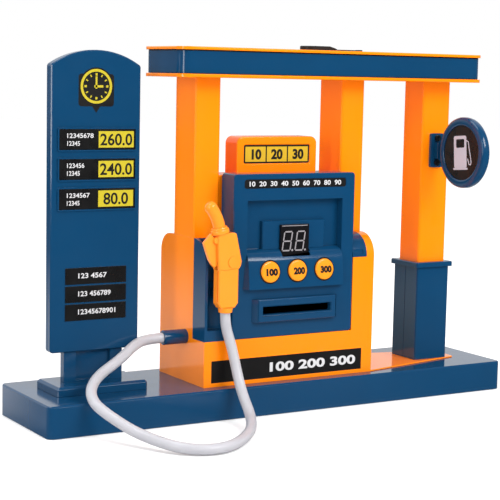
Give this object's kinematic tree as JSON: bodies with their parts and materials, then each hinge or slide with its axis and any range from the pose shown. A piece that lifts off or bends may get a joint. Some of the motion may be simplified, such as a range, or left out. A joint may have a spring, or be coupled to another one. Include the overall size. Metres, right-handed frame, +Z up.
{
  "type": "toy service station",
  "caption": "Toy fuel forecourt with a price pylon, a pump with buttons, card slot and a hose with trigger nozzle, pillars, a roof tank and a round blade sign.",
  "frame": {"origin": "middle of the base's underside, on the surface the toy stands on", "axes": "+X runs along the base to the child's right, -Y is the front with the pump's buttons, +Z is up"},
  "size_m": [0.367, 0.1632, 0.252],
  "materials": {
    "blue_abs": "satin",
    "orange_abs": "satin",
    "button_yellow": "satin",
    "black_abs": "satin",
    "black_rubber": "matte",
    "mat_rubber": "matte",
    "display_plastic": "satin",
    "board_laminate": "satin",
    "cell_jacket": "satin",
    "nickel_strip": "bright",
    "zinc_screws": "bright",
    "milky_pvc": "satin",
    "wire_pvc": "satin"
  },
  "bodies": {
    "station": {"back_cover_screws": "zinc_screws", "base_plate": "blue_abs", "base_plate_screws": "zinc_screws", "base_shell": "blue_abs", "base_top_screws": "zinc_screws", "battery_box": "black_abs", "battery_cells": "cell_jacket", "battery_contacts": "nickel_strip", "battery_door": "blue_abs", "blade_sign": "blue_abs", "board_screws": "zinc_screws", "canopy_lid": "orange_abs", "canopy_screws": "zinc_screws", "canopy_tank": "blue_abs", "canopy_tray": "orange_abs", "card_bezel": "blue_abs", "circuit_board": "board_laminate", "column_back": "blue_abs", "column_cap": "blue_abs", "column_front": "blue_abs", "console_panel": "blue_abs", "display_module": "display_plastic", "feed_tube": "milky_pvc", "hose": "milky_pvc", "hose_connector": "blue_abs", "island_plate": "orange_abs", "keypad_mat": "mat_rubber", "marquee": "orange_abs", "pillar_left": "orange_abs", "pillar_middle": "orange_abs", "pillar_right": "orange_abs", "plug_anchor": "black_rubber", "power_switch": "black_abs", "price_plates": "black_abs", "pump_back_cover": "orange_abs", "pump_case": "orange_abs", "pump_front": "blue_abs", "pump_head": "orange_abs", "pylon_back": "blue_abs", "pylon_foot": "blue_abs", "pylon_front": "blue_abs", "pylon_posts": "blue_abs", "service_strips": "black_abs", "sign_faces": "black_abs", "sign_screws": "zinc_screws", "speaker": "black_abs", "wire_loom": "wire_pvc"},
    "nozzle": {"nozzle_front_half": "orange_abs", "nozzle_back_half": "orange_abs", "nozzle_spout": "orange_abs", "nozzle_collar": "orange_abs", "trigger_pin": "zinc_screws", "valve_spring": "zinc_screws"},
    "trigger_lever": {"trigger": "orange_abs"},
    "valve": {"valve_plunger": "black_abs"},
    "left_button": {"button_left": "button_yellow"},
    "middle_button": {"button_middle": "button_yellow"},
    "right_button": {"button_right": "button_yellow"},
    "power_slider": {"power_knob": "black_abs"},
    "plug": {"filler_plug": "black_rubber"}
  },
  "joints": [
    {"name": "nozzle_off_hook", "type": "slide", "parent": "station", "child": "nozzle", "axis": [0, -0.9659, 0.2588], "range_m": [0, 0.025], "deforming": ["hose"]},
    {"name": "trigger_squeeze", "type": "hinge", "parent": "nozzle", "child": "trigger_lever", "pos_m": [-0.0636, -0.03775, 0.1216], "axis": [0, -1, 0], "range_deg": [0, 9], "stiffness_Nm_per_rad": 0.08, "springref_deg": -4.58},
    {"name": "valve_slide", "type": "slide", "parent": "nozzle", "child": "valve", "axis": [1, 0, 0], "range_m": [0, 0.0026], "deforming": ["valve_spring"]},
    {"name": "button_left_press", "type": "slide", "parent": "station", "child": "left_button", "axis": [0, 0.9945, -0.1045], "range_m": [0, 0.0012], "stiffness_N_per_m": 400, "springref_m": -0.0008},
    {"name": "button_middle_press", "type": "slide", "parent": "station", "child": "middle_button", "axis": [0, 0.9945, -0.1045], "range_m": [0, 0.0012], "stiffness_N_per_m": 400, "springref_m": -0.0008},
    {"name": "button_right_press", "type": "slide", "parent": "station", "child": "right_button", "axis": [0, 0.9945, -0.1045], "range_m": [0, 0.0012], "stiffness_N_per_m": 400, "springref_m": -0.0008},
    {"name": "power_slide", "type": "slide", "parent": "station", "child": "power_slider", "axis": [1, 0, 0], "range_m": [0, 0.004]},
    {"name": "plug_flap", "type": "hinge", "parent": "station", "child": "plug", "pos_m": [0.071, 0, 0.2495], "axis": [0, 1, 0], "range_deg": [0, 100]}
  ],
  "couplings": [
    {"joint": "valve_slide", "follows": "trigger_squeeze", "m_per_rad": 0.0147}
  ]
}
